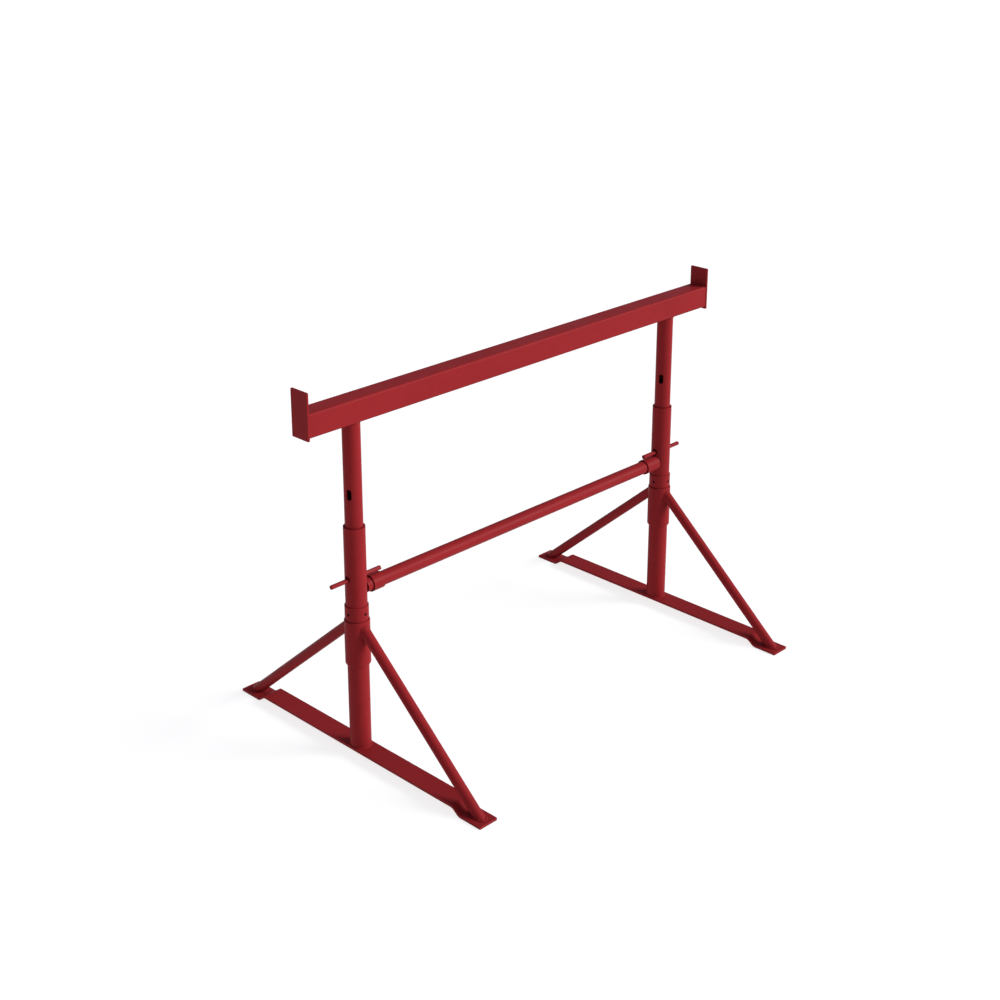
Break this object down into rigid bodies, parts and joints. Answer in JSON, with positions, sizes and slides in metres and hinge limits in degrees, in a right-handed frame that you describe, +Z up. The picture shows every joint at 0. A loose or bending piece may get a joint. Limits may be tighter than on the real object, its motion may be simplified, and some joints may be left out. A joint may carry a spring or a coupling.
{
  "type": "folding sawhorse",
  "caption": "Adjustable work trestle: box beam on two telescopic pinned legs, tubular crossbar between them, and feet that swivel flat for storage.",
  "frame": {"origin": "on the floor, below the middle of the beam", "axes": "+X along the beam from the left leg to the right leg, +Y across the beam from front to back, +Z up"},
  "size_m": [1.302, 0.806, 0.893],
  "materials": {
    "red_enamel": "glossy dark red enamel over steel tube and bar",
    "pin_enamel": "the same red enamel, scuffed where the pins slide",
    "dark_steel": "dark oiled steel set screws",
    "bright_steel": "plain spring steel"
  },
  "bodies": {
    "main_frame": {"outer_tube_left": "red_enamel", "outer_tube_right": "red_enamel", "crossbar": "red_enamel", "crossbar_stub_left": "red_enamel", "crossbar_ferrule_left": "red_enamel", "crossbar_socket_right": "red_enamel", "swivel_collar_left": "red_enamel", "swivel_collar_right": "red_enamel", "collar_screws_left": "dark_steel", "collar_screws_right": "dark_steel", "retaining_ring_left": "bright_steel", "retaining_ring_right": "bright_steel"},
    "beam_frame": {"beam": "red_enamel", "end_plate_left": "red_enamel", "end_plate_right": "red_enamel", "inner_tube_left": "red_enamel", "inner_tube_right": "red_enamel"},
    "foot_left": {"swivel_sleeve_left": "red_enamel", "foot_post_left": "red_enamel", "base_bar_left": "red_enamel", "front_brace_left": "red_enamel", "back_brace_left": "red_enamel"},
    "foot_right": {"swivel_sleeve_right": "red_enamel", "foot_post_right": "red_enamel", "base_bar_right": "red_enamel", "front_brace_right": "red_enamel", "back_brace_right": "red_enamel"},
    "pin_left": {"height_pin_left": "pin_enamel"},
    "pin_right": {"height_pin_right": "pin_enamel"}
  },
  "joints": [
    {"name": "beam_height", "type": "slide", "parent": "main_frame", "child": "beam_frame", "axis": [0, 0, 1], "range_m": [-0.1, 0.2]},
    {"name": "foot_left_swivel", "type": "hinge", "parent": "main_frame", "child": "foot_left", "pos_m": [-0.517, 0, 0.28], "axis": [0, 0, 1], "range_deg": [-90, 90]},
    {"name": "foot_right_swivel", "type": "hinge", "parent": "main_frame", "child": "foot_right", "pos_m": [0.517, 0, 0.28], "axis": [0, 0, 1], "range_deg": [-90, 90]},
    {"name": "pin_left_pull", "type": "slide", "parent": "main_frame", "child": "pin_left", "axis": [-1, 0, 0], "range_m": [0, 0.092]},
    {"name": "pin_right_pull", "type": "slide", "parent": "main_frame", "child": "pin_right", "axis": [1, 0, 0], "range_m": [0, 0.092]}
  ]
}
